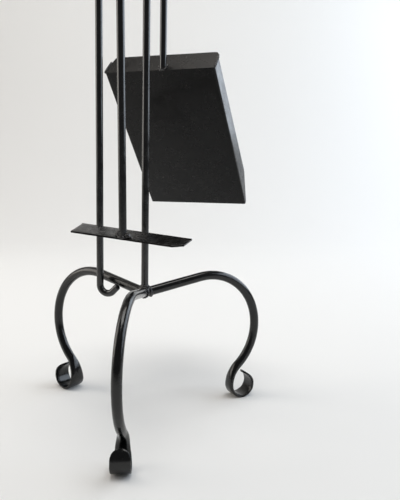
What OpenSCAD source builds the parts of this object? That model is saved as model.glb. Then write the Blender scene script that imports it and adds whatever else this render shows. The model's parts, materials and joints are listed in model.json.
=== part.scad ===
// Hand-forged fireplace tool set.
// A tripod stand carries four hooks on a post. A poker, an ash rake and a shovel hang
// from three of them by closed loops and lift off outwards and upwards.
// +Z is up, the floor is Z = 0 and the front leg points roughly towards -Y.
// A bearing is an angle from -Y towards +X, seen from above.

/* [Stand] */
// Height of the carrying ring's top above the floor
stand_h = 813; // [790:1:840]
// Diameter of the post and of the tools' rods
rod_d = 9.5; // [8:0.5:11]
// Diameter of the leg bars
leg_d = 12.7; // [11:0.1:13]
// Bearing of the front leg
front_bearing = -9.3; // [-15:0.1:-3]
// Bearing of the right leg
right_bearing = 112.3; // [107:0.1:117]
// Bearing of the left leg
left_bearing = -131.8; // [-137:0.1:-127]
// Middle of the footprint measured from the post axis, along X
middle_x = 15.9; // [10:0.1:22]
// Middle of the footprint measured from the post axis, along Y
middle_y = 36.6; // [25:0.1:45]

/* [Legs] */
// Upward slope of the straight stretch next to the post
leg_slope = 10.2; // [8:0.1:12]
// Length of that straight stretch
leg_straight = 80; // [76:0.5:84]
// Radius of the large downward bend
leg_bend = 79.5; // [77:0.5:82]
// Steepest inward heading below the bend
leg_tuck = 139; // [136:0.5:142]
// Radius of the neck that turns the bar back outwards
neck_bend = 38.5; // [36:0.5:41]
// Radius of the curled foot, at the middle of the strap
curl_bend = 17.2; // [16:0.1:18]
// How far the curl turns past its innermost point
curl_turn = 275; // [260:1:285]
// Width of the flattened foot
strap_w = 24.5; // [20:0.5:28]
// Thickness of the flattened foot at its tip
strap_t = 2.8; // [2:0.1:4]

/* [Hooks] */
// Height of the hook arms' axes
hook_z = 745; // [735:1:750]
// Diameter of the hook arms, the loops and the carrying ring
hook_d = 8; // [7:0.5:9]
// Length of the upswept end of a hook
hook_tip = 12; // [10:0.5:16]
// Slope of the upswept end, along which a tool lifts off
hook_rise = 45; // [45:1:45]
// Bearing of the spare hook
spare_bearing = 63.5; // [60:0.5:67]
// Distance of the spare hook's seat from the post axis
spare_reach = 64; // [60:0.5:68]
// Middle radius of the carrying ring
ring_r = 24; // [20:0.5:28]

/* [Poker] */
// Poker rod axis, along X from the post
poker_x = -61; // [-62:0.1:-60]
// Poker rod axis, along Y from the post
poker_y = 30; // [29:0.1:31]
// Height of the lowest point of the poker's crook axis
poker_bottom = 164; // [161:0.1:166]
// Radius of the crook
crook_bend = 11.4; // [11:0.1:12.5]
// Turn of the crook
crook_turn = 135; // [130:1:140]
// Straight length after the crook
crook_tip = 11; // [3:0.5:12]

/* [Rake] */
// Rake rod axis at the blade, along X from the post
rake_x = -26.7; // [-28:0.1:-25]
// Rake rod axis at the blade, along Y from the post
rake_y = -57; // [-59:0.1:-55]
// Height of the blade's front edge at the rod
blade_z = 251.9; // [248:0.1:253]
// Sideways lean of the rake as it hangs
rake_lean = 0.65; // [0:0.05:1]
// Blade extent to the left of the rod
blade_left = 70.6; // [65:0.1:75]
// Blade extent to the right of the rod
blade_right = 80.3; // [75:0.1:85]
// Blade depth from front edge to back edge
blade_w = 28; // [24:0.5:32]
// Blade thickness
blade_t = 2.3; // [2:0.1:4]
// Turn of the blade about the vertical
blade_yaw = 25.2; // [20:0.1:30]
// Droop of the blade's right end
blade_droop = 4; // [0:0.1:6]
// Rise of the blade from front edge to back edge
blade_tilt = 14.5; // [10:0.1:20]

/* [Shovel] */
// Shovel rod axis, along X from the post
shovel_x = 22.65; // [21:0.1:24]
// Shovel rod axis, along Y from the post
shovel_y = 55.3; // [54:0.1:58]
// Pan width at the back fold
pan_back_w = 159.6; // [150:0.1:170]
// Pan width at the open front
pan_front_w = 167.5; // [155:0.1:180]
// Pan length from the back fold to the front edge
pan_len = 259.5; // [240:0.5:280]
// Sheet thickness of the pan
pan_t = 1.6; // [1.2:0.1:2.5]
// Height of the back wall
back_wall = 36.5; // [30:0.5:40]
// Height of the side walls at the back
side_low = 24.5; // [20:0.5:28]
// Greatest height of the side walls
side_high = 31; // [28:0.5:34]
// Turn of the pan about the vertical
pan_yaw = 22.5; // [18:0.1:27]
// Lean of the hanging pan away from the vertical
pan_lean = 43.6; // [38:0.1:48]
// Twist of the pan in its own plane
pan_twist = -1; // [-2:0.1:0]

/* [Hidden] */
$fn = 48;

rod_r = rod_d / 2;
leg_r = leg_d / 2;
hook_r = hook_d / 2;
iron = [0.09, 0.09, 0.1];
weld_iron = [0.2, 0.2, 0.22];

// Small distances
play = 0.3;             // clearance between a loop and the hook that carries it
lap = 1;                // how far a bar's last stretch starts inside its bend
hair = 0.1;             // by how much that stretch is thinner in radius
filed = 1;              // width of the edge filed off a bar's end
bury = 2;               // degrees of round bar that reach into the flattened foot
ground_off = 0.4;       // depth of the flat filed under each foot
far = 400;              // larger than any piece, for cutting planes

// Hanging loops
loop_r = 16;            // middle radius of a loop's round top
loop_drop = 52;         // from the round's centre down to where the sides meet
seat_bend = hook_r + hook_r + play;   // a hook's bend, so that a loop nests in it
loop_half = asin(loop_r / loop_drop); // half angle between the loop's sides
loop_side = sqrt(loop_drop * loop_drop - loop_r * loop_r);
neck_down = 6;          // rod-thick neck below the point where the sides meet
neck_up = 8;            // and above it
loop_centre_z = hook_z + seat_bend - loop_r;
rod_top_z = loop_centre_z - loop_drop - neck_down;

// Rod bearings and reaches, from their places
poker_reach = norm([poker_x, poker_y]);
poker_bearing = atan2(poker_x, -poker_y);
rake_hang_x = rake_x - (hook_z + seat_bend - blade_z) * tan(rake_lean);
rake_reach = norm([rake_hang_x, rake_y]);
rake_bearing = atan2(rake_hang_x, -rake_y);
shovel_reach = norm([shovel_x, shovel_y]);
shovel_bearing = atan2(shovel_x, -shovel_y);

leg_bearings = [front_bearing, right_bearing, left_bearing];
hook_bearings = [rake_bearing, poker_bearing, shovel_bearing, spare_bearing];

// Blade outline and the rod's seat on it
blade_seat = 4;         // from the front edge to the rod's axis
clip_x = 14.5;          // clipped corner, along the blade
clip_end = 2.3;         // how far the end edge leans
clip_y = 7.3;           // clipped corner, into the blade
corner_spur = 2;        // spur left by the shears at the back left corner

// Carrying ring
ring_z = stand_h - ring_r - hook_r;
post_top = ring_z - ring_r - hook_r + 1;

// Leg stations in the leg's own plane: X is the distance from the post, Y is the height
// above the bar's start
function ahead(p, h, d) = [p[0] + d * cos(h), p[1] + d * sin(h)];
function beside(p, h, d) = [p[0] - d * sin(h), p[1] + d * cos(h)];
leg_start = [rod_r, 0];
straight_end = ahead(leg_start, leg_slope, leg_straight);
bend_centre = beside(straight_end, leg_slope, -leg_bend);
bend_end = beside(bend_centre, -leg_tuck, leg_bend);
neck_centre = beside(bend_end, -leg_tuck, neck_bend);
neck_end = beside(neck_centre, -90, -neck_bend);
curl_centre = beside(neck_end, -90, curl_bend);
neck_turn = leg_tuck - 90;

// Flattened foot: heading and place at each station, from the neck to the tip
foot_stations = 36;
neck_share = 9;         // stations along the neck
foot_from = 12;         // part of the neck, in degrees, that stays round
function foot_turn(i) = i < neck_share
    ? foot_from + (neck_turn - foot_from) * i / neck_share
    : neck_turn + curl_turn * (i - neck_share) / (foot_stations - neck_share);
function foot_heading(i) = -leg_tuck + foot_turn(i);
function foot_place(i) = i < neck_share
    ? beside(neck_centre, foot_heading(i), -neck_bend)
    : beside(curl_centre, foot_heading(i), -curl_bend);
// Share of the way from round bar (0) to full strap (1)
full_turn = neck_turn + 130;    // turn after which the strap has its full width
function flatness(i) = min(1, (foot_turn(i) - foot_from) / (full_turn - foot_from));
tip_round = 13;         // length of the rounded end
function tip_left(i) = (foot_stations - i) / (foot_stations - neck_share) * curl_turn
    * PI / 180 * curl_bend;
function tip_shape(i) = let (q = max(0, 1 - tip_left(i) / tip_round))
    max(0.08, sqrt(1 - q * q));
start_d = leg_d - 0.2;  // a little less than the bar, which it starts inside
function strap_width(i) = (start_d + (strap_w - start_d) * flatness(i)) * tip_shape(i);
// Share of the bar's thickness that is left, falling quickly at first
function thick_share(i) = pow(1 - flatness(i), 4);
function strap_depth(i) = start_d * thick_share(i)
    + strap_t * (1 - thick_share(i)) * (1.5 - 0.5 * flatness(i));
ring_sides = 16;
// Rounded-rectangle section, from a circle to a flat bar
function squared(v, f) = sign(v) * pow(abs(v), 1 - 0.62 * f);
function section_point(i, j) = let (
    a = 360 * (j + 0.5) / ring_sides,
    f = min(1, flatness(i) * 1.6),
    across = strap_width(i) / 2 * squared(cos(a), f),
    out = strap_depth(i) / 2 * squared(sin(a), f),
    p = beside(foot_place(i), foot_heading(i), out)
) [p[0], across, p[1]];

// Height of the bar's start, so that the curls reach just through the floor
lowest = neck_share + (foot_stations - neck_share) * 90 / curl_turn;  // station at the curl's foot
hub_z = curl_bend + strap_depth(lowest) / 2 - ground_off - curl_centre[1];
post_bottom = hub_z - leg_r - 0.5;

// Pan outline
side_slope = atan2((pan_front_w - pan_back_w) / 2, pan_len);
side_len = pan_len / cos(side_slope);
crest = 0.82;           // where along its length a side wall is highest
front_lip = 7;          // height left at the front corner
corner_r = 7;           // rounding of the back wall's upper corners

// Rod end on the pan's back wall
pan_seat = 6.5;         // from the fold up to the rod's axis, along the back wall
pan_seat_s = 4.1;       // sideways from the middle of the fold
pan_fold_x = shovel_x - pan_seat_s * cos(pan_yaw) - pan_seat * sin(pan_yaw) * cos(pan_lean);
pan_fold_y = shovel_y + pan_seat_s * sin(pan_yaw) - pan_seat * cos(pan_yaw) * cos(pan_lean);
pan_fold_z = 466.4;     // height of the fold
rod_foot_z = pan_fold_z + pan_seat * sin(pan_lean);

// ---- placing ----

// From the post axis to the middle of the footprint
module on_stand() {
    translate([-middle_x, -middle_y, 0])
        children();
}

// Turns the XZ plane, X outwards, to a bearing
module at_bearing(bearing) {
    rotate([0, 0, bearing - 90])
        children();
}

// A bar is drawn stretch by stretch along +X; +Z is on its left. Each stretch hands
// its end on to its children, so that the next one starts where it stops.
module run_on(length, bar_r) {
    rotate([0, 90, 0])
        cylinder(r = bar_r, h = length);
    translate([length, 0, 0])
        children();
}

// A bend to the left, or to the right where the turn is negative
module bend_on(radius, turn, bar_r) {
    side = sign(turn);
    translate([0, 0, side * radius]) {
        rotate([90, 0, 0])
            rotate([0, 0, side > 0 ? -90 : 90 + turn])
                rotate_extrude(angle = abs(turn))
                    translate([radius, 0])
                        rotate(side > 0 ? 0 : 180)
                            circle(bar_r);
        rotate([0, -turn, 0])
            translate([0, 0, -side * radius])
                children();
    }
}

// The last stretch of a bar, its end's edge filed off. It starts inside the bend before
// it and is a hair thinner.
module tip_on(length, bar_r) {
    tip_r = bar_r - hair;
    translate([-lap, 0, 0])
        rotate([0, 90, 0])
            rotate_extrude()
                polygon([
                    [0, 0],
                    [tip_r, 0],
                    [tip_r, lap + length - filed],
                    [tip_r - filed, lap + length],
                    [0, lap + length],
                ]);
}

// A bead round a bar that runs along +X
module bead_round(distance, bar_r, bead_r) {
    translate([distance, 0, 0])
        rotate([0, 90, 0])
            rotate_extrude()
                translate([bar_r, 0])
                    circle(bead_r);
}

// ---- stand ----

module post_bar() {
    translate([0, 0, post_bottom])
        cylinder(r = rod_r, h = post_top - post_bottom);
}

module post() {
    color(iron)
        on_stand()
            difference() {
                post_bar();
                ring_bar();
            }
}

// Flattened and curled foot, in the leg's plane
module foot() {
    points = [for (i = [0:foot_stations]) for (j = [0:ring_sides - 1]) section_point(i, j)];
    sides = [for (i = [0:foot_stations - 1]) for (j = [0:ring_sides - 1])
        let (a = i * ring_sides, k = (j + 1) % ring_sides)
        [a + j, a + ring_sides + j, a + ring_sides + k, a + k]];
    start_cap = [for (j = [0:ring_sides - 1]) j];
    end_cap = [for (j = [ring_sides - 1:-1:0]) foot_stations * ring_sides + j];
    polyhedron(points, concat(sides, [start_cap, end_cap]));
}

// The start of a leg bar, at the post's side
module at_leg_root(bearing) {
    at_bearing(bearing)
        translate([rod_r, 0, hub_z])
            rotate([0, -leg_slope, 0])
                children();
}

// One leg: shaped to the post's side, bent down, tucked in and curled outwards
module leg(bearing) {
    color(iron)
        on_stand()
            difference() {
                union() {
                    at_leg_root(bearing)
                        run_on(leg_straight, leg_r)
                            bend_on(leg_bend, -(leg_slope + leg_tuck), leg_r)
                                bend_on(neck_bend, foot_from + bury, leg_r);
                    at_bearing(bearing)
                        translate([0, 0, hub_z])
                            foot();
                }
                post_bar();
                translate([-far / 2, -far / 2, -far])
                    cube(far);
            }
}

module leg_front() { leg(front_bearing); }
module leg_right() { leg(right_bearing); }
module leg_left() { leg(left_bearing); }

// Weld at the foot of the post: a lump between the bars and a bead round each leg's root
module hub_weld() {
    lump_r = 8.2;
    lump_rise = 2;
    bead_r = 1.3;
    bead_at = 2.2;          // from the post's side to the bead
    color(weld_iron)
        on_stand()
            difference() {
                union() {
                    translate([0, 0, hub_z + lump_rise])
                        sphere(lump_r);
                    for (b = leg_bearings)
                        at_leg_root(b)
                            bead_round(bead_at, leg_r, bead_r);
                }
                post_bar();
                for (b = leg_bearings)
                    at_leg_root(b)
                        run_on(leg_straight, leg_r);
            }
}

// One hook: a straight arm, a bend that a loop nests in and an upswept end
module hook_bar(bearing, reach) {
    at_bearing(bearing)
        translate([rod_r, 0, hook_z])
            run_on(reach - rod_r, hook_r)
                bend_on(seat_bend, hook_rise, hook_r)
                    tip_on(hook_tip, hook_r);
}

module hook(bearing, reach) {
    color(iron)
        on_stand()
            hook_bar(bearing, reach);
}

module hook_front() { hook(rake_bearing, rake_reach); }
module hook_left() { hook(poker_bearing, poker_reach); }
module hook_back() { hook(shovel_bearing, shovel_reach); }
module hook_right() { hook(spare_bearing, spare_reach); }

// Welds where the hook arms meet the post: one lump round the post, between the arms
module hook_welds() {
    lump_r = 7.2;
    color(weld_iron)
        on_stand()
            difference() {
                translate([0, 0, hook_z])
                    sphere(lump_r);
                post_bar();
                for (b = hook_bearings)
                    at_bearing(b)
                        translate([0, 0, hook_z])
                            run_on(2 * rod_d, hook_r);
            }
}

module ring_bar() {
    translate([0, 0, ring_z])
        rotate([90, 0, 0])
            rotate_extrude()
                translate([ring_r, 0])
                    circle(hook_r);
}

module carry_ring() {
    color(iron)
        on_stand()
            ring_bar();
}

// Weld between the post's top and the carrying ring
module ring_weld() {
    lump_r = 6.4;
    color(weld_iron)
        on_stand()
            difference() {
                translate([0, 0, post_top - 1])
                    sphere(lump_r);
                post_bar();
                ring_bar();
            }
}

// ---- tools ----

// A closed teardrop loop on a rod's top, its centre on the rod's axis
module loop(bearing) {
    color(iron)
        at_bearing(bearing + 90)
            translate([0, 0, loop_centre_z]) {
                translate([0, 0, -loop_drop])
                    rotate([0, loop_half - 90, 0])
                        run_on(loop_side, hook_r)
                            bend_on(loop_r, 180 + 2 * loop_half, hook_r)
                                run_on(loop_side, hook_r);
                translate([0, 0, -loop_drop - neck_down])
                    cylinder(r = rod_r, h = neck_down + neck_up);
                translate([0, 0, -loop_drop + neck_up])
                    sphere(rod_r);
            }
}

// Bead round the joint between a rod and its loop's neck
module rod_top_bead() {
    color(weld_iron)
        translate([0, 0, rod_top_z])
            difference() {
                rotate_extrude()
                    translate([rod_r, 0])
                        circle(1);
                translate([0, 0, -rod_d])
                    cylinder(r = rod_r, h = 2 * rod_d);
            }
}

module at_poker() {
    on_stand()
        translate([poker_x, poker_y, 0])
            children();
}

// Poker: a straight rod with an upturned crook that points at the post
module poker_rod() {
    color(iron)
        at_poker()
            at_bearing(poker_bearing + 180)
                translate([0, 0, rod_top_z])
                    rotate([0, 90, 0])
                        run_on(rod_top_z - poker_bottom - crook_bend, rod_r)
                            bend_on(crook_bend, crook_turn, rod_r)
                                tip_on(crook_tip, rod_r);
}

module poker_loop() {
    at_poker()
        loop(poker_bearing);
}

module poker_weld() {
    at_poker()
        rod_top_bead();
}

// The rake's rod hangs a little out of plumb, about the blade
module at_rake() {
    on_stand()
        translate([rake_x, rake_y, blade_z])
            rotate([0, -rake_lean, 0])
                translate([0, 0, -blade_z])
                    children();
}

// The blade's own frame: X along the blade, Y to its back edge, Z out of its top face
module at_blade() {
    on_stand()
        translate([rake_x, rake_y, blade_z])
            rotate([0, 0, -blade_yaw])
                rotate([0, blade_droop, 0])
                    rotate([blade_tilt, 0, 0])
                        translate([0, -blade_seat, 0])
                            children();
}

module rake_bar() {
    translate([0, 0, blade_z - rod_d])
        cylinder(r = rod_r, h = rod_top_z - blade_z + rod_d);
}

module rake_rod() {
    color(iron)
        difference() {
            at_rake()
                rake_bar();
            at_blade()
                translate([-far / 2, -far / 2, -far])
                    cube(far);
        }
}

// Blade: a flat bar with one clipped front corner
module rake_blade() {
    color(iron)
        at_blade()
            translate([0, 0, -blade_t])
                linear_extrude(blade_t)
                    polygon([
                        [-blade_left, 0],
                        [blade_right - clip_x, 0],
                        [blade_right - clip_end, clip_y],
                        [blade_right, blade_w],
                        [-blade_left - corner_spur, blade_w + corner_spur],
                        [-blade_left, blade_w - corner_spur],
                    ]);
}

// Fillets on both sides of the rod's foot
module rake_blade_weld() {
    fillet_h = 11;
    fillet_w = 6.5;
    fillet_t = 5;
    color(weld_iron)
        difference() {
            at_blade()
                translate([0, blade_seat + fillet_t / 2, 0])
                    rotate([90, 0, 0])
                        linear_extrude(fillet_t)
                            polygon([
                                [-rod_r - fillet_w, 0],
                                [rod_r + fillet_w, 0],
                                [rod_r + fillet_w * 0.5, 3],
                                [rod_r * 0.5, fillet_h],
                                [-rod_r * 0.5, fillet_h],
                                [-rod_r - fillet_w * 0.5, 3],
                            ]);
            at_rake()
                rake_bar();
        }
}

module rake_loop() {
    at_rake()
        loop(rake_bearing);
}

module rake_weld() {
    at_rake()
        rod_top_bead();
}

module at_shovel() {
    on_stand()
        translate([shovel_x, shovel_y, 0])
            children();
}

// The pan's own frame: X across, Y from the fold to the open front, Z into the pan
module at_pan() {
    on_stand()
        translate([pan_fold_x, pan_fold_y, pan_fold_z])
            rotate([0, 0, -pan_yaw])
                rotate([pan_lean - 90, 0, 0])
                    rotate([0, 0, pan_twist])
                        children();
}

module shovel_bar() {
    translate([0, 0, rod_foot_z - rod_d])
        cylinder(r = rod_r, h = rod_top_z - rod_foot_z + rod_d);
}

module shovel_rod() {
    color(iron)
        difference() {
            at_shovel()
                shovel_bar();
            at_pan()
                translate([-far / 2, 0, -far / 2])
                    cube(far);
        }
}

// An upright sheet in the XZ plane, its outer face at Y = 0
module upright_sheet() {
    translate([0, pan_t, 0])
        rotate([90, 0, 0])
            linear_extrude(pan_t)
                children();
}

module back_outline() {
    translate([-pan_back_w / 2, 0])
        square([pan_back_w, back_wall - corner_r]);
    translate([-pan_back_w / 2 + corner_r, 0])
        square([pan_back_w - 2 * corner_r, back_wall]);
    for (side = [-1, 1])
        translate([side * (pan_back_w / 2 - corner_r), back_wall - corner_r])
            circle(corner_r);
}

module side_outline() {
    polygon([
        [0, 0],
        [side_len, 0],
        [side_len, front_lip],
        [crest * side_len, side_high],
        [0, side_low],
    ]);
}

// Folded sheet: floor, back wall and two side walls, open at the front
module pan_sheet() {
    linear_extrude(pan_t)
        polygon([
            [-pan_back_w / 2, 0],
            [pan_back_w / 2, 0],
            [pan_front_w / 2, pan_len],
            [-pan_front_w / 2, pan_len],
        ]);
    upright_sheet()
        back_outline();
    for (flip = [0, 1])
        mirror([flip, 0, 0])
            translate([pan_back_w / 2, 0, 0])
                rotate([0, 0, 90 - side_slope])
                    upright_sheet()
                        side_outline();
}

module shovel_pan() {
    color(iron)
        at_pan()
            pan_sheet();
}

// Beads down the outsides of the pan's two back corners
module pan_corner_welds() {
    reach = 1.5;            // along each wall, from the corner
    proud = 0.8;            // out of each wall
    color(weld_iron)
        at_pan()
            for (flip = [0, 1])
                mirror([flip, 0, 0])
                    translate([pan_back_w / 2, 0, pan_t])
                        linear_extrude(side_low - pan_t)
                            polygon([
                                [0, 0],
                                [-reach, 0],
                                [-reach * 0.6, -proud],
                                [proud * 0.5, -proud],
                                [proud, -proud * 0.5],
                                [proud, reach * 0.6],
                                [reach * tan(side_slope), reach],
                            ]);
}

// Bead round the rod's foot on the back wall
module shovel_pan_weld() {
    bead_t = 2;
    bead_w = 1.9;
    half_span = rod_r / cos(pan_lean) - rod_r;
    color(weld_iron)
        difference() {
            at_pan()
                translate([pan_seat_s, 0, pan_seat])
                    rotate([90, 0, 0])
                        for (shift = [-half_span, half_span])
                            translate([0, shift, 0])
                                cylinder(r = rod_r + bead_w, h = bead_t);
            at_shovel()
                shovel_bar();
            at_pan()
                translate([-far / 2, -far / 2, -far])
                    cube(far);
        }
}

module shovel_loop() {
    at_shovel()
        loop(shovel_bearing);
}

module shovel_weld() {
    at_shovel()
        rod_top_bead();
}

post();
leg_front();
leg_right();
leg_left();
hub_weld();
hook_front();
hook_left();
hook_back();
hook_right();
hook_welds();
carry_ring();
ring_weld();
poker_rod();
poker_loop();
poker_weld();
rake_rod();
rake_blade();
rake_blade_weld();
rake_loop();
rake_weld();
shovel_rod();
shovel_pan();
pan_corner_welds();
shovel_pan_weld();
shovel_loop();
shovel_weld();
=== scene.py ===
import json
import math
import bmesh
import bpy
from mathutils import Matrix, Vector, noise


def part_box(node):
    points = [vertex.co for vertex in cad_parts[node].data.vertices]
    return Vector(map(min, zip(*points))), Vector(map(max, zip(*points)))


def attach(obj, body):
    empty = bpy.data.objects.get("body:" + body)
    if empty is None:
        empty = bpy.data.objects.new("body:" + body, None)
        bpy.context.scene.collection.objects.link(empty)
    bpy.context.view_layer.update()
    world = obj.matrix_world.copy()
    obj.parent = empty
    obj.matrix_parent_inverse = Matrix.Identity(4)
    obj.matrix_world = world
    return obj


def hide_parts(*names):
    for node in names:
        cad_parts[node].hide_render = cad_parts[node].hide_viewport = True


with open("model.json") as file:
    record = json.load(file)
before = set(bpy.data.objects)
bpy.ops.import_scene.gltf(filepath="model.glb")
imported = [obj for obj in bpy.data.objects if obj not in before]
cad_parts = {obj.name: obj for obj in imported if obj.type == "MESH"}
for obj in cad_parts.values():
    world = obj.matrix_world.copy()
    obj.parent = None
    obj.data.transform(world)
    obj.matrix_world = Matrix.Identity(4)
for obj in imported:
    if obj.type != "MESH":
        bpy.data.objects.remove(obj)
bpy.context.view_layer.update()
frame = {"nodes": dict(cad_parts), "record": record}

# Hand-forged fireplace tool set: a tripod stand with a poker, an ash rake and a shovel.
# Lengths below are in millimetres and angles in degrees; MM turns them into metres.
# A bearing is an angle from -Y towards +X, seen from above.
MM = 0.001


def middle_of(node):
    low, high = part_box(node)
    return (low + high) / 2


POST = middle_of("post")
POST_X, POST_Y = POST.x / MM, POST.y / MM

# ---- places read from the frame, or repeated from the part's driving dimensions ----

ROD_R = (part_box("post")[1].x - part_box("post")[0].x) / 2 / MM
BURY = 1.0              # how deep a leg or a hook reaches into the post
MARK_DEPTH = 0.05       # thin bars are drawn this much thinner, which leaves room for marks

# A leg slopes up from the post, bends over and down, tucks in and turns out again at its neck.
LEG_D = 12.7
HUB_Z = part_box("post")[0].z / MM + LEG_D / 2 + 0.5
LEG_SLOPE = 10.2
LEG_STRAIGHT = 80.0
LEG_BEND = 79.5         # radius of the large bend
LEG_TUCK = 139.0        # how steeply the leg heads down and back when it reaches the neck
NECK_BEND = 38.5        # radius of the neck
FRONT, RIGHT, LEFT = -9.3, 112.3, -131.8    # bearings of the legs

# Below the neck the bar is flattened into a strap, which curls up into the foot.
FOOT_FROM = 3.0         # how far round the neck, in degrees, the bar stays round
FULL_WIDTH_AT = 130.0   # how far round the curl, in degrees, the strap reaches its full width
OPENING = 80.0          # last part of the curl, in degrees, which opens out a little
OPENED = 1.07           # radius of that last part, as a share of the curl's
TIP_T = 2.8             # thickness of the strap at its tip
TIP_LENGTH = 13.0       # length over which the tip is rounded off
TWIST_STEPS = 12        # sections below the neck over which a foot's twist comes in

# A hook runs level out of the post, then turns up.
HOOK_R = 4.0
HOOK_Z = 745.0
SEAT_BEND = 8.3         # radius of the turn, where a loop nests
HOOK_RISE = 45.0
HOOK_TIP = 12.0
SPARE_BEARING, SPARE_REACH = 63.5, 64.0     # the fourth hook, which carries no tool

# A tool's loop is a drop of hook-sized bar, closed on top of the tool's rod.
LOOP_R = 16.0
LOOP_DROP = 52.0        # from the middle of the round top down to where the sides meet
LOOP_Z = HOOK_Z + SEAT_BEND - LOOP_R
NECK_DOWN = 6.0         # how far the swelling reaches below that meeting point
NECK_UP = 8.0
ROD_TOP = LOOP_Z - LOOP_DROP - NECK_DOWN
RING_R = 24.0           # carrying ring on top of the post

ROUND_SIDES, LEG_SIDES = 28, 32     # points round a section of a thin bar, and of a leg


# ---- mesh helpers ----

def new_piece(name, bm, body, nodes, material, sharp=38.0):
    """Turns a bmesh in millimetres into a piece that rides on a body and replaces nodes."""
    bmesh.ops.remove_doubles(bm, verts=bm.verts, dist=0.001)
    bmesh.ops.recalc_face_normals(bm, faces=bm.faces)
    bmesh.ops.scale(bm, vec=(MM, MM, MM), verts=bm.verts)
    for face in bm.faces:
        face.smooth = True
    for edge in bm.edges:
        edge.smooth = len(edge.link_faces) != 2 or edge.calc_face_angle(0) < math.radians(sharp)
    mesh = bpy.data.meshes.new(name)
    bm.to_mesh(mesh)
    bm.free()
    piece = bpy.data.objects.new(name, mesh)
    bpy.context.scene.collection.objects.link(piece)
    mesh.materials.append(material)
    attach(piece, body)
    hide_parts(*nodes)
    return piece


def wobble(point, size, amount, seed=0.0):
    """A smooth random offset, alike for points close together."""
    p = Vector(point) / size + Vector((seed, seed * 1.7, seed * 0.6))
    return noise.noise_vector(p) * amount


def skin(bm, rings, closed=False):
    """Joins rings of points, each with the same count, into a tube with capped ends."""
    made = [[bm.verts.new(p) for p in ring] for ring in rings]
    count = len(made[0])
    pairs = list(zip(made, made[1:]))
    if closed:
        pairs.append((made[-1], made[0]))
    for a, b in pairs:
        for k in range(count):
            bm.faces.new((a[k], a[(k + 1) % count], b[(k + 1) % count], b[k]))
    if not closed:
        for ring, turn in ((made[0], -1), (made[-1], 1)):
            centre = bm.verts.new(sum((v.co for v in ring), Vector()) / count)
            for k in range(count):
                trio = (ring[k], ring[(k + 1) % count], centre)
                bm.faces.new(trio[::turn])


def round_ring(centre, side, up, radius, rough=0.0, seed=0.0):
    """A circle of points about a centre, in the plane of side and up."""
    points = []
    for k in range(ROUND_SIDES):
        a = 2 * math.pi * k / ROUND_SIDES
        p = centre + (side * math.cos(a) + up * math.sin(a)) * radius
        points.append(p + wobble(p, 9.0, rough, seed) if rough else p)
    return points


class Trace:
    """A bar's centreline in one plane: points (x, z) with headings, drawn stretch by stretch."""

    def __init__(self, x, z, heading):
        self.x, self.z, self.heading = x, z, heading
        self.stations = [(x, z, heading)]

    def straight(self, length, step=6.0):
        count = max(1, round(length / step))
        for _ in range(count):
            h = math.radians(self.heading)
            self.x += length / count * math.cos(h)
            self.z += length / count * math.sin(h)
            self.stations.append((self.x, self.z, self.heading))
        return self

    def bend(self, radius, turn, step=3.0):
        count = max(2, round(abs(turn) / step))
        side = math.copysign(1.0, turn)
        for _ in range(count):
            h = math.radians(self.heading)
            cx = self.x - side * radius * math.sin(h)
            cz = self.z + side * radius * math.cos(h)
            self.heading += turn / count
            h = math.radians(self.heading)
            self.x = cx + side * radius * math.sin(h)
            self.z = cz - side * radius * math.cos(h)
            self.stations.append((self.x, self.z, self.heading))
        return self


def plane_at(bearing, x=POST_X, y=POST_Y):
    """The upright plane at a bearing: its outward and sideways directions, and a function
    that places a point (distance out, height) of it."""
    b = math.radians(bearing)
    outward = Vector((math.sin(b), -math.cos(b), 0))
    sideways = Vector((math.cos(b), math.sin(b), 0))

    def place(px, pz):
        return Vector((x, y, pz)) + outward * px
    return outward, sideways, place


def round_bar(bm, trace, radius, bearing, x=POST_X, y=POST_Y, rough=0.06, seed=0.0):
    """A round bar along a trace in the plane at a bearing, with filed ends."""
    filed = 0.9
    outward, sideways, place = plane_at(bearing, x, y)
    rings = []
    last = len(trace.stations) - 1
    for i, (px, pz, heading) in enumerate(trace.stations):
        h = math.radians(heading)
        along = outward * math.cos(h) + Vector((0, 0, math.sin(h)))
        up = outward * -math.sin(h) + Vector((0, 0, math.cos(h)))
        centre = place(px, pz)
        if i == 0:
            rings.append(round_ring(centre, sideways, up, radius - filed,
                                    rough=rough, seed=seed))
            centre = centre + along * filed
        if i == last:
            rings.append(round_ring(centre - along * filed, sideways, up, radius,
                                    rough=rough, seed=seed))
            rings.append(round_ring(centre, sideways, up, radius - filed,
                                    rough=rough, seed=seed))
            continue
        rings.append(round_ring(centre, sideways, up, radius, rough=rough, seed=seed))
    skin(bm, rings)


def bead(bm, centre, axis, ring_r, bead_r, ripples, seed=0.0):
    """A weld bead round a joint: overlapping ripples that vary in size, as a hand weld leaves."""
    squash = 0.75           # a bead's height as a share of its width
    steps_per_ripple, sides = 6, 12
    axis = Vector(axis).normalized()
    side = axis.orthogonal().normalized()
    up = axis.cross(side)
    rings = []
    count = ripples * steps_per_ripple
    for i in range(count):
        a = 2 * math.pi * i / count
        out = side * math.cos(a) + up * math.sin(a)
        ripple = abs(math.sin(a * ripples / 2))
        uneven = noise.noise(out * 1.7 + Vector((seed, 0, 0)))
        size = bead_r * (0.78 + 0.22 * ripple + 0.24 * uneven)
        middle = Vector(centre) + out * ring_r + axis * bead_r * 0.25 * noise.noise(out * 1.3)
        rings.append([middle + (out * math.cos(t) + axis * math.sin(t) / squash) * size
                      for t in (2 * math.pi * k / sides for k in range(sides))])
    skin(bm, rings, closed=True)


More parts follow.
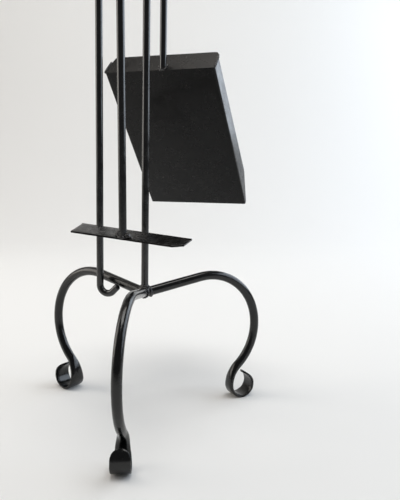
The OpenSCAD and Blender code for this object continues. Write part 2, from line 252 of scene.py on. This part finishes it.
def blob(bm, centre, size, seed=0.0, lumps=0.16):
    """A lump of weld metal: an uneven ball with its own size along x, y and z."""
    start = len(bm.verts)
    bmesh.ops.create_icosphere(bm, subdivisions=4, radius=1.0)
    bm.verts.ensure_lookup_table()
    for v in bm.verts[start:]:
        swell = 1 + lumps * noise.noise(v.co * 2.1 + Vector((seed, 0, 0)))
        swell += lumps * 0.4 * noise.noise(v.co * 5.3 + Vector((0, seed, 0)))
        sized = Vector((v.co.x * size[0], v.co.y * size[1], v.co.z * size[2]))
        v.co = Vector(centre) + sized * swell


# ---- materials ----

def iron(name, base, rough, metal=0.0, level=0.5, grain=14.0, bump=0.12, warm=0.0, scuff=0.25):
    """Black painted or waxed iron: mottled colour, uneven gloss, fine bumps and rubbed patches.

    base is the colour's brightness, warm adds red to its light parts, level is the coat's
    reflection, grain the scale of all the noises, and scuff the strength of the rubbed patches."""
    m = bpy.data.materials.new(name)
    m.use_nodes = True
    nodes, links = m.node_tree.nodes, m.node_tree.links
    shader = nodes["Principled BSDF"]
    shader.inputs["Metallic"].default_value = metal
    shader.inputs["Specular IOR Level"].default_value = level
    place = nodes.new("ShaderNodeTexCoord")

    def texture(scale, detail, roughness=0.6):
        t = nodes.new("ShaderNodeTexNoise")
        t.inputs["Scale"].default_value = scale
        t.inputs["Detail"].default_value = detail
        t.inputs["Roughness"].default_value = roughness
        links.new(place.outputs["Object"], t.inputs["Vector"])
        return t

    def ramp(source, stops):
        r = nodes.new("ShaderNodeValToRGB")
        r.color_ramp.elements[0].position, r.color_ramp.elements[0].color = stops[0]
        r.color_ramp.elements[1].position, r.color_ramp.elements[1].color = stops[1]
        links.new(source, r.inputs["Fac"])
        return r

    dark = (base * 0.7, base * 0.7, base * 0.73, 1)
    light = (base * 1.5 + warm, base * 1.45 + warm * 0.8, base * 1.42 + warm * 0.6, 1)
    mottle = ramp(texture(grain * 3, 5).outputs["Fac"], ((0.35, dark), (0.68, light)))
    # rubbed patches, where the black is thin
    patches = ramp(texture(grain * 1.3, 7, 0.72).outputs["Fac"],
                   ((0.6, (0, 0, 0, 1)), (0.78, (scuff, scuff, scuff, 1))))
    mix = nodes.new("ShaderNodeMix")
    mix.data_type = "RGBA"
    colour_a, colour_b, mixed = mix.inputs[6], mix.inputs[7], mix.outputs[2]
    links.new(patches.outputs["Color"], mix.inputs["Factor"])
    links.new(mottle.outputs["Color"], colour_a)
    colour_b.default_value = (base * 4 + warm, base * 3.9 + warm, base * 3.8 + warm, 1)
    links.new(mixed, shader.inputs["Base Color"])
    gloss = nodes.new("ShaderNodeMapRange")
    gloss.inputs["From Min"].default_value = 0.3
    gloss.inputs["From Max"].default_value = 0.7
    gloss.inputs["To Min"].default_value = rough - 0.09
    gloss.inputs["To Max"].default_value = rough + 0.11
    links.new(texture(grain * 5, 6).outputs["Fac"], gloss.inputs["Value"])
    links.new(gloss.outputs["Result"], shader.inputs["Roughness"])
    fine = nodes.new("ShaderNodeBump")
    fine.inputs["Strength"].default_value = bump
    fine.inputs["Distance"].default_value = 0.0006
    links.new(texture(grain * 42, 4).outputs["Fac"], fine.inputs["Height"])
    coarse = nodes.new("ShaderNodeBump")
    coarse.inputs["Strength"].default_value = bump * 1.2
    coarse.inputs["Distance"].default_value = 0.0012
    links.new(texture(grain * 8, 3).outputs["Fac"], coarse.inputs["Height"])
    links.new(fine.outputs["Normal"], coarse.inputs["Normal"])
    links.new(coarse.outputs["Normal"], shader.inputs["Normal"])
    return m


BAR = iron("bar_iron", 0.002, 0.19, level=0.75, bump=0.05)
FORGED = iron("forged_iron", 0.002, 0.19, grain=18, bump=0.10)
SHEET = iron("sheet_iron", 0.0015, 0.24, level=0.21, grain=9, bump=0.05, scuff=0.1)
BLADE = iron("blade_iron", 0.005, 0.26, level=0.8, grain=20, bump=0.25, warm=0.003, scuff=0.3)
# painted shade: a darker, less reflective copy of the blade's iron, put on the forward-facing
# faces of the blade's front edge, which lie in shade
SHADED_EDGE = iron("blade_edge_painted_shade", 0.0015, 0.5, level=0.12, grain=20, bump=0.2, scuff=0.1)
WELD = iron("weld_iron", 0.07, 0.24, metal=1.0, grain=30, bump=0.2, scuff=0.4)

SLOT_MATERIAL = {"black_iron": BAR, "forged_iron": FORGED, "sheet_iron": SHEET, "weld_bead": WELD}
for row in frame["record"]["subparts"]:
    mesh = frame["nodes"][row["node"]].data
    mesh.materials.clear()
    mesh.materials.append(SLOT_MATERIAL[row["material_slot"]])


# ---- legs with flattened, curled feet ----

def foot_section(centre, sideways, normal, half_w, half_t, squareness, seed):
    """A section between a circle and a flat bar with soft corners, with hammer marks."""
    points = []
    power = 1 - 0.66 * squareness
    for k in range(LEG_SIDES):
        a = 2 * math.pi * (k + 0.5) / LEG_SIDES
        c, s = math.cos(a), math.sin(a)
        across = half_w * math.copysign(abs(c) ** power, c)
        out = half_t * math.copysign(abs(s) ** power, s)
        p = centre + sideways * across + normal * out
        points.append(p + wobble(p, 7.0, 0.10 + 0.22 * squareness, seed))
    return points


def leg(name, bearing, seed, bar_d=LEG_D, curl_r=17.2, curl_turn=255.0, strap_w=24.5,
        neck_w=0.0, reach_less=0.0, twist=0.0):
    """One leg. strap_w is the foot's full width, neck_w adds early width below the neck,
    reach_less shortens the stance, and twist turns the foot about an upright line."""
    neck_turn = LEG_TUCK - 90
    trace = Trace(ROD_R - BURY, 0, LEG_SLOPE).straight(LEG_STRAIGHT + BURY - reach_less)
    trace.bend(LEG_BEND, -(LEG_SLOPE + LEG_TUCK))
    trace.bend(NECK_BEND, FOOT_FROM)
    round_count = len(trace.stations)
    trace.bend(NECK_BEND, neck_turn - FOOT_FROM)
    trace.bend(curl_r, curl_turn - OPENING, step=5.0)
    trace.bend(curl_r * OPENED, OPENING, step=5.0)
    outward, sideways, place = plane_at(bearing)
    stations = trace.stations
    flat_from = LEG_TUCK - FOOT_FROM
    full = neck_turn + FULL_WIDTH_AT - FOOT_FROM
    rings = []
    for i, (px, pz, heading) in enumerate(stations):
        h = math.radians(heading)
        normal = outward * -math.sin(h) + Vector((0, 0, math.cos(h)))
        centre = place(px, pz + HUB_Z)
        if i < round_count:
            rings.append(foot_section(centre, sideways, normal, bar_d / 2, bar_d / 2, 0, seed))
            continue
        flat = min(1.0, (heading + flat_from) / full)
        left = sum(math.dist(stations[j][:2], stations[j + 1][:2])
                   for j in range(i, len(stations) - 1))
        q = max(0.0, 1 - left / TIP_LENGTH)
        end = max(0.1, math.sqrt(1 - q * q))
        early = neck_w * math.sin(math.pi * min(1.0, flat * 1.15)) if flat < 0.87 else 0.0
        spread = 1 - (1 - flat) ** 2.6
        width = (bar_d + (strap_w - bar_d) * spread + early) * end
        kept = (1 - flat) ** 4
        depth = bar_d * kept + TIP_T * (1 - kept) * (1.5 - 0.5 * flat)
        rings.append(foot_section(centre, sideways, normal, width / 2, depth / 2,
                                  min(1.0, flat * 1.6), seed))
    neck_x = stations[round_count + (len(stations) - round_count) // 4][0]
    pivot = place(neck_x + curl_r, 0)
    for i in range(round_count, len(rings)):
        share = min(1.0, (i - round_count) / TWIST_STEPS)
        eased = share * share * (3 - 2 * share)
        turn = Matrix.Rotation(math.radians(twist * eased), 3, "Z")
        rings[i] = [pivot + turn @ (p - pivot) for p in rings[i]]
    bm = bmesh.new()
    skin(bm, rings)
    for v in bm.verts:
        v.co.z = max(v.co.z, 0.0)
    new_piece(name, bm, "stand", [name.replace("_forged", "")], FORGED)


leg("leg_front_forged", FRONT, 1.3, bar_d=11.9, curl_r=15.6, curl_turn=238, strap_w=23.4,
    reach_less=1.6, twist=6.0)
leg("leg_right_forged", RIGHT, 2.9)
leg("leg_left_forged", LEFT, 4.1, curl_turn=250, neck_w=4.5, reach_less=0.5)


# ---- hub weld ----

def hub_weld():
    bm = bmesh.new()
    blob(bm, (POST_X, POST_Y, HUB_Z + 2.5), (8.0, 8.0, 6.6), seed=1.1)
    slope = math.radians(LEG_SLOPE)
    for bearing, bead_r, seed in ((FRONT, 1.25, 2.0), (RIGHT, 1.5, 5.0), (LEFT, 1.2, 8.0)):
        outward, _, place = plane_at(bearing)
        along = outward * math.cos(slope) + Vector((0, 0, math.sin(slope)))
        bead(bm, place(ROD_R + 2.4, HUB_Z + 0.4), along, LEG_D / 2 + 0.1, bead_r,
             ripples=13, seed=seed)
    bead(bm, (POST_X, POST_Y, HUB_Z + 8.4), (0, 0, 1), ROD_R + 0.1, 1.2, ripples=12, seed=3.0)
    new_piece("hub_weld_beads", bm, "stand", ["hub_weld"], WELD)


hub_weld()


# ---- hooks, their welds and the carrying ring ----

def bearing_of(x, y):
    return math.degrees(math.atan2(x, -y))


def hang_point(tool):
    """Where a tool's loop hangs, from the post axis: the middle of the loop's own box."""
    m = middle_of(tool + "_loop")
    return m.x / MM - POST_X, m.y / MM - POST_Y


TOOLS = {"rake": hang_point("rake"), "poker": hang_point("poker"), "shovel": hang_point("shovel")}


def hook(node, bearing, reach, seed):
    trace = Trace(ROD_R - BURY, HOOK_Z, 0).straight(reach - ROD_R + BURY)
    trace.bend(SEAT_BEND, HOOK_RISE).straight(HOOK_TIP, step=3)
    bm = bmesh.new()
    round_bar(bm, trace, HOOK_R - MARK_DEPTH, bearing, seed=seed, rough=0.04)
    new_piece(node + "_forged", bm, "stand", [node], BAR)


hook("hook_front", bearing_of(*TOOLS["rake"]), math.hypot(*TOOLS["rake"]), 1.0)
hook("hook_left", bearing_of(*TOOLS["poker"]), math.hypot(*TOOLS["poker"]), 2.0)
hook("hook_back", bearing_of(*TOOLS["shovel"]), math.hypot(*TOOLS["shovel"]), 3.0)
hook("hook_right", SPARE_BEARING, SPARE_REACH, 4.0)


def hook_welds():
    bm = bmesh.new()
    blob(bm, (POST_X, POST_Y, HOOK_Z), (6.9, 6.9, 5.6), seed=6.0, lumps=0.1)
    for i, (x, y) in enumerate(TOOLS.values()):
        outward = Vector((x, y, 0)).normalized()
        bead(bm, Vector((POST_X, POST_Y, HOOK_Z)) + outward * (ROD_R + 1.2), outward,
             HOOK_R, 0.9, ripples=10, seed=i * 2.0)
    new_piece("hook_weld_beads", bm, "stand", ["hook_welds"], WELD)


hook_welds()


def carry_ring():
    centre = middle_of("carry_ring") / MM
    sections = 96
    rings = []
    for i in range(sections):
        a = 2 * math.pi * i / sections
        out = Vector((math.cos(a), 0, math.sin(a)))
        rings.append(round_ring(centre + out * RING_R, out, Vector((0, 1, 0)), HOOK_R,
                                rough=0.05, seed=7.0))
    bm = bmesh.new()
    skin(bm, rings, closed=True)
    new_piece("carry_ring_forged", bm, "stand", ["carry_ring"], BAR)
    bm = bmesh.new()
    foot = Vector((POST_X, POST_Y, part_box("post")[1].z / MM))
    blob(bm, foot, (6.0, 6.0, 3.4), seed=9.0, lumps=0.12)
    bead(bm, foot - Vector((0, 0, 1.5)), (0, 0, 1), ROD_R, 1.1, ripples=12, seed=4.0)
    new_piece("ring_weld_beads", bm, "stand", ["ring_weld"], WELD)


carry_ring()


# ---- loops and the beads below them ----

RAKE_LEAN = 0.65
# Swelling where a loop's two sides meet the rod: height from the meeting point, and radius as
# a share of the rod's
SWELLING = ((-NECK_DOWN, 1.0), (-2, 1.0), (2, 1.04), (5, 0.98), (NECK_UP, 0.8), (11, 0.45))


def lean_from_hook(bm, tool, lean):
    """Leans a tool's piece sideways about the hook that the tool hangs from."""
    pivot = Vector((POST_X + TOOLS[tool][0], 0, LOOP_Z))
    bmesh.ops.rotate(bm, verts=bm.verts, cent=pivot,
                     matrix=Matrix.Rotation(math.radians(-lean), 3, "Y"))


def loop(tool, lean=0.0):
    x, y = TOOLS[tool]
    half = math.degrees(math.asin(LOOP_R / LOOP_DROP))
    side = math.sqrt(LOOP_DROP ** 2 - LOOP_R ** 2)
    trace = Trace(0, LOOP_Z - LOOP_DROP, 90 - half).straight(side)
    trace.bend(LOOP_R, 180 + 2 * half, step=6).straight(side)
    bm = bmesh.new()
    px, py = POST_X + x, POST_Y + y
    round_bar(bm, trace, HOOK_R - MARK_DEPTH, bearing_of(x, y) + 90, px, py,
              rough=0.04, seed=len(tool))
    rings = []
    for z, share in SWELLING:
        rings.append(round_ring(Vector((px, py, LOOP_Z - LOOP_DROP + z)), Vector((1, 0, 0)),
                                Vector((0, 1, 0)), ROD_R * share, rough=0.05))
    skin(bm, rings)
    if lean:
        lean_from_hook(bm, tool, lean)
    new_piece(tool + "_loop_forged", bm, tool, [tool + "_loop"], BAR)
    bm = bmesh.new()
    bead(bm, (px, py, ROD_TOP), (0, 0, 1), ROD_R, 0.95, ripples=12, seed=len(tool) + 1.0)
    if lean:
        lean_from_hook(bm, tool, lean)
    new_piece(tool + "_weld_bead", bm, tool, [tool + "_weld"], WELD)


loop("rake", RAKE_LEAN)
loop("poker")
loop("shovel")


# ---- rake blade ----

BLADE_YAW, BLADE_DROOP, BLADE_TILT = 25.2, 4.0, 14.5
BLADE_LEFT, BLADE_RIGHT = 70.6, 80.3    # its ends, measured from the rod
BLADE_W, BLADE_T = 28.0, 2.3
BLADE_SEAT = 4.0        # from the front edge back to the rod
CLIP_X, CLIP_END, CLIP_Y = 14.5, 2.3, 7.3   # clipped front right corner
SPUR = 2.0              # small point drawn out at the back left corner
FRONT_FACING = -0.6     # faces that look further forwards than this belong to the front edge, which gets the painted shade
RAKE_FOOT = Vector((POST_X - 26.7, POST_Y - 57.0, 251.9))
# Weld metal round the rod's foot: place, with y from the rod's axis, then size, seed and lumps
BLADE_LUMPS = (
    ((-5.5, 0.0, 2.6), (4.6, 2.8, 4.2), 2.0, 0.20),
    ((-3.2, 0.0, 5.2), (3.0, 3.4, 5.0), 5.0, 0.18),
    ((5.6, -0.3, 2.4), (3.8, 3.0, 3.6), 7.0, 0.22),
    ((8.6, 0.0, 1.4), (3.0, 2.4, 2.0), 8.0, 0.20),
    ((0.0, -3.6, 1.2), (5.4, 1.8, 1.9), 9.0, 0.20),
)


def rot(angle, axis):
    return Matrix.Rotation(math.radians(angle), 4, axis)


BLADE_FRAME = (Matrix.Translation(RAKE_FOOT) @ rot(-BLADE_YAW, "Z") @ rot(BLADE_DROOP, "Y")
               @ rot(BLADE_TILT, "X") @ Matrix.Translation((0, -BLADE_SEAT, 0)))


def cut_rows(bm, axis, low, high, step):
    """Cuts every face along evenly spaced planes, so that it can be shaped."""
    value = low + step
    while value < high - step / 2:
        normal = [0, 0, 0]
        normal[axis] = 1
        point = [0, 0, 0]
        point[axis] = value
        bmesh.ops.bisect_plane(bm, geom=bm.verts[:] + bm.edges[:] + bm.faces[:],
                               plane_co=point, plane_no=normal)
        value += step


def rake_blade():
    outline = [(-BLADE_LEFT, 0), (BLADE_RIGHT - CLIP_X, 0), (BLADE_RIGHT - CLIP_END, CLIP_Y),
               (BLADE_RIGHT, BLADE_W), (-BLADE_LEFT - SPUR, BLADE_W + SPUR),
               (-BLADE_LEFT, BLADE_W - SPUR)]
    bm = bmesh.new()
    bottom = [bm.verts.new((x, y, -BLADE_T)) for x, y in outline]
    face = bm.faces.new(bottom)
    up = bmesh.ops.extrude_face_region(bm, geom=[face])
    bmesh.ops.translate(bm, vec=(0, 0, BLADE_T),
                        verts=[g for g in up["geom"] if isinstance(g, bmesh.types.BMVert)])
    bmesh.ops.bevel(bm, geom=bm.edges[:], offset=0.35, segments=2, profile=0.6, affect="EDGES")
    cut_rows(bm, 0, -BLADE_LEFT, BLADE_RIGHT, 4.0)
    cut_rows(bm, 1, 0, BLADE_W, 3.5)
    for v in bm.verts:
        v.co += wobble(v.co, 11.0, 0.10, 3.0)
        v.co.z += 0.22 * noise.noise(Vector((v.co.x / 38, v.co.y / 60, 2.0)))
    bm.normal_update()
    # the front edge's forward-facing faces take the second material, which is painted shade
    for face in bm.faces:
        if face.normal.y < FRONT_FACING:
            face.material_index = 1
    bmesh.ops.transform(bm, matrix=BLADE_FRAME, verts=bm.verts)
    piece = new_piece("rake_blade_hammered", bm, "rake", ["rake_blade"], BLADE,
                      sharp=30)
    piece.data.materials.append(SHADED_EDGE)


def rake_blade_weld():
    bm = bmesh.new()
    for (x, y, z), size, seed, lumps in BLADE_LUMPS:
        blob(bm, (x, BLADE_SEAT + y, z), size, seed=seed, lumps=lumps)
    bmesh.ops.transform(bm, matrix=BLADE_FRAME, verts=bm.verts)
    new_piece("rake_blade_weld_beads", bm, "rake", ["rake_blade_weld"], WELD)


rake_blade()
rake_blade_weld()


# ---- shovel pan: one folded sheet ----

PAN_BACK_W, PAN_FRONT_W, PAN_LEN, PAN_T = 159.6, 167.5, 259.5, 1.6
PAN_YAW, PAN_LEAN, PAN_TWIST = 22.5, 43.6, -1.0
BACK_WALL = 36.5
SIDE_LOW, SIDE_HIGH, LIP = 24.5, 31.0, 7.0  # side walls: at the back, at most, at the front
CREST = 0.82            # where along its length a side wall is highest
CORNER_R, LEFT_CORNER_R = 7.0, 2.0          # upper corners of the back wall
WALL_INSET, INSET_FROM = 5.0, 8.0           # slant of its left edge, and where that starts
FOLD_R = 0.6            # inside radius of the folds
PAN_SEAT, PAN_SEAT_S = 6.5, 5.3             # the rod on the back wall: above the fold, sideways
PAN_FOLD_Z = 466.4      # height of the fold
PAN_ROWS, FLOOR_STEPS, SIDE_STEPS, FOLD_STEPS = 40, 24, 6, 5
WALL_ROWS, WALL_STEPS = 8, 40
CORNER_BEADS, ROD_BEADS = 14, 20


def pan_frame():
    x, y = TOOLS["shovel"]
    yaw, lean = math.radians(PAN_YAW), math.radians(PAN_LEAN)
    fold_x = POST_X + x - PAN_SEAT_S * math.cos(yaw) - PAN_SEAT * math.sin(yaw) * math.cos(lean)
    fold_y = POST_Y + y + PAN_SEAT_S * math.sin(yaw) - PAN_SEAT * math.cos(yaw) * math.cos(lean)
    fold = Vector((fold_x, fold_y, PAN_FOLD_Z))
    return (Matrix.Translation(fold) @ rot(-PAN_YAW, "Z") @ rot(PAN_LEAN - 90, "X")
            @ rot(PAN_TWIST, "Z"))


PAN_FRAME = pan_frame()


def side_height(y):
    """Height of a side wall at a distance from the back fold."""
    t = y / PAN_LEN
    if t < CREST:
        return SIDE_LOW + (SIDE_HIGH - SIDE_LOW) * t / CREST
    return SIDE_HIGH + (LIP - SIDE_HIGH) * (t - CREST) / (1 - CREST)


def wall_inset(z):
    """How far the left edge of the back wall slants inwards at a height."""
    return WALL_INSET * max(0.0, z - INSET_FROM) / (BACK_WALL - INSET_FROM)


def left_fold(half, radius):
    """Points (x, z) of the left fold's outer surface, from the floor up to the side wall."""
    points = []
    for k in range(FOLD_STEPS + 1):
        a = math.pi / 2 * k / FOLD_STEPS
        points.append((-half + radius * (1 - math.sin(a)), radius * (1 - math.cos(a))))
    return points


def shovel_pan():
    bm = bmesh.new()
    outer = FOLD_R + PAN_T
    rows = []
    for j in range(PAN_ROWS + 1):
        y = PAN_LEN * j / PAN_ROWS
        half = (PAN_BACK_W + (PAN_FRONT_W - PAN_BACK_W) * j / PAN_ROWS) / 2
        height = side_height(y)
        left = [(-half, height + (outer - height) * k / SIDE_STEPS) for k in range(SIDE_STEPS)]
        left += left_fold(half, outer)[::-1]
        right = [(-x, z) for x, z in left[::-1]]
        floor = [(-half + outer + (2 * half - 2 * outer) * k / FLOOR_STEPS, 0)
                 for k in range(1, FLOOR_STEPS)]
        rows.append([bm.verts.new((x, y, z)) for x, z in left + floor + right])
    for a, b in zip(rows, rows[1:]):
        for k in range(len(a) - 1):
            bm.faces.new((a[k], a[k + 1], b[k + 1], b[k]))
    # the back wall rises from the floor's back edge
    half = PAN_BACK_W / 2
    wall = []
    for i in range(WALL_ROWS + 1):
        row = []
        for k in range(WALL_STEPS + 1):
            x = -half + 2 * half * k / WALL_STEPS
            corner = LEFT_CORNER_R if x < 0 else CORNER_R
            over = max(0.0, abs(x) - (half - corner))
            top = BACK_WALL - corner + math.sqrt(max(0.0, corner ** 2 - over ** 2))
            z = top * i / WALL_ROWS
            row.append(bm.verts.new((x + wall_inset(z) * max(0.0, -x / half), 0, z)))
        wall.append(row)
    for a, b in zip(wall, wall[1:]):
        for k in range(WALL_STEPS):
            bm.faces.new((a[k], b[k], b[k + 1], a[k + 1]))
    for v in bm.verts:
        # a thin sheet is never quite flat
        swell = noise.noise(Vector((v.co.x / 70, v.co.y / 90, 1.0)))
        inside = min(1.0, max(0.0, (half - abs(v.co.x)) / 25))
        v.co.z += 0.5 * swell * inside
    for face in bm.faces:
        face.normal_update()
    bmesh.ops.solidify(bm, geom=bm.faces[:], thickness=-PAN_T)
    bmesh.ops.transform(bm, matrix=PAN_FRAME, verts=bm.verts)
    new_piece("shovel_pan_folded", bm, "shovel", ["shovel_pan"], SHEET, sharp=35)


def pan_welds():
    bm = bmesh.new()
    for side in (-1, 1):
        for k in range(CORNER_BEADS):
            z = 1.5 + (SIDE_LOW - 2.5) * k / (CORNER_BEADS - 1)
            inset = wall_inset(z) / 2 if side < 0 else 0.0
            blob(bm, (side * (PAN_BACK_W / 2 - 0.1) + inset, -0.1, z),
                 (1.5, 1.4, 1.5 + 0.3 * (k % 3)), seed=k * 1.3 + side, lumps=0.3)
    bmesh.ops.transform(bm, matrix=PAN_FRAME, verts=bm.verts)
    new_piece("pan_corner_beads", bm, "shovel", ["pan_corner_welds"], WELD)
    bm = bmesh.new()
    # the leaning wall cuts the upright rod in an ellipse
    half_w = ROD_R + 0.7
    half_h = ROD_R / math.cos(math.radians(PAN_LEAN)) + 0.7
    for k in range(ROD_BEADS):
        a = 2 * math.pi * k / ROD_BEADS
        blob(bm, (PAN_SEAT_S + half_w * math.cos(a), -0.5, PAN_SEAT + half_h * math.sin(a)),
             (1.5, 1.3, 1.5), seed=k * 0.9, lumps=0.3)
    bmesh.ops.transform(bm, matrix=PAN_FRAME, verts=bm.verts)
    new_piece("shovel_pan_weld_beads", bm, "shovel", ["shovel_pan_weld"], WELD)


shovel_pan()
pan_welds()


# ---- stage, lights and camera ----

def backdrop():
    """A pale floor that sweeps up into a wall far behind. Its sizes are in metres."""
    sweep_from, sweep_r, steps = 1.6, 1.2, 24
    near, half_width, wall_top = -4.0, 5.0, 5.0
    mesh = bpy.data.meshes.new("backdrop")
    profile = [(near, 0.0), (sweep_from, 0.0)]
    profile += [(sweep_from + sweep_r * math.sin(a), sweep_r - sweep_r * math.cos(a))
                for a in (math.pi / 2 * k / steps for k in range(1, steps + 1))]
    profile.append((sweep_from + sweep_r, wall_top))
    verts = [(x, y, z) for y, z in profile for x in (-half_width, half_width)]
    faces = [(2 * i, 2 * i + 1, 2 * i + 3, 2 * i + 2) for i in range(len(profile) - 1)]
    mesh.from_pydata(verts, [], faces)
    for p in mesh.polygons:
        p.use_smooth = True
    obj = bpy.data.objects.new("backdrop", mesh)
    bpy.context.scene.collection.objects.link(obj)
    m = bpy.data.materials.new("pale_paper")
    m.use_nodes = True
    shader = m.node_tree.nodes["Principled BSDF"]
    shader.inputs["Base Color"].default_value = (0.82, 0.81, 0.79, 1)
    shader.inputs["Roughness"].default_value = 0.9
    mesh.materials.append(m)


def area(name, place, aim, size, power, colour):
    """A rectangular lamp at a place, in metres, turned towards a point; power is in watts."""
    data = bpy.data.lights.new(name, "AREA")
    data.shape = "RECTANGLE"
    data.size, data.size_y = size
    data.energy = power
    data.color = colour
    lamp = bpy.data.objects.new(name, data)
    bpy.context.scene.collection.objects.link(lamp)
    lamp.location = place
    lamp.rotation_euler = (Vector(aim) - Vector(place)).to_track_quat("-Z", "Y").to_euler()


def lights():
    world = bpy.data.worlds.new("soft_room")
    world.use_nodes = True
    world.node_tree.nodes["Background"].inputs["Color"].default_value = (0.95, 0.97, 1.0, 1)
    world.node_tree.nodes["Background"].inputs["Strength"].default_value = 0.14
    bpy.context.scene.world = world
    bpy.context.scene.view_settings.view_transform = "Standard"
    # a cool window, which draws the pale lines down the right of the bars
    area("window_right", place=(2.3, 0.8, 1.45), aim=(0, 0.4, 1.0), size=(3.8, 1.8),
         power=66, colour=(0.80, 0.89, 1.0))
    area("room_left", place=(-2.2, 0.3, 1.1), aim=(0, 0.1, 0.3), size=(1.6, 1.8),
         power=27, colour=(1.0, 0.95, 0.88))
    area("ceiling", place=(0.1, -0.1, 3.0), aim=(0, 0.1, 0), size=(1.6, 1.6),
         power=37, colour=(1.0, 0.99, 0.97))
    area("wall_wash", place=(-0.8, 0.7, 2.7), aim=(-0.7, 2.8, 0.6), size=(3.4, 0.8),
         power=17, colour=(1.0, 0.93, 0.85))


def camera():
    """Stands in front of the post, looks down, and is turned and rolled a little."""
    data = bpy.data.cameras.new("camera")
    data.sensor_width = 36.0
    data.sensor_fit = "AUTO"
    data.lens = 39.44304
    data.shift_x, data.shift_y = -0.0004, 0.0004
    cam = bpy.data.objects.new("camera", data)
    bpy.context.scene.collection.objects.link(cam)
    back, height = 718.55, 334.3
    pitch, yaw, roll = math.radians(8.352), math.radians(5.815), math.radians(1.25)
    ahead = Vector((math.sin(yaw) * math.cos(pitch), math.cos(yaw) * math.cos(pitch),
                    -math.sin(pitch)))
    right = Vector((math.cos(yaw), -math.sin(yaw), 0))
    up = right.cross(ahead)
    rolled_right = right * math.cos(roll) + up * math.sin(roll)
    rolled_up = up * math.cos(roll) - right * math.sin(roll)
    turn = Matrix((rolled_right, rolled_up, -ahead)).transposed()
    cam.matrix_world = (Matrix.Translation(Vector((POST_X, POST_Y - back, height)) * MM)
                        @ turn.to_4x4())
    bpy.context.scene.camera = cam


backdrop()
lights()
camera()

bpy.context.view_layer.update()
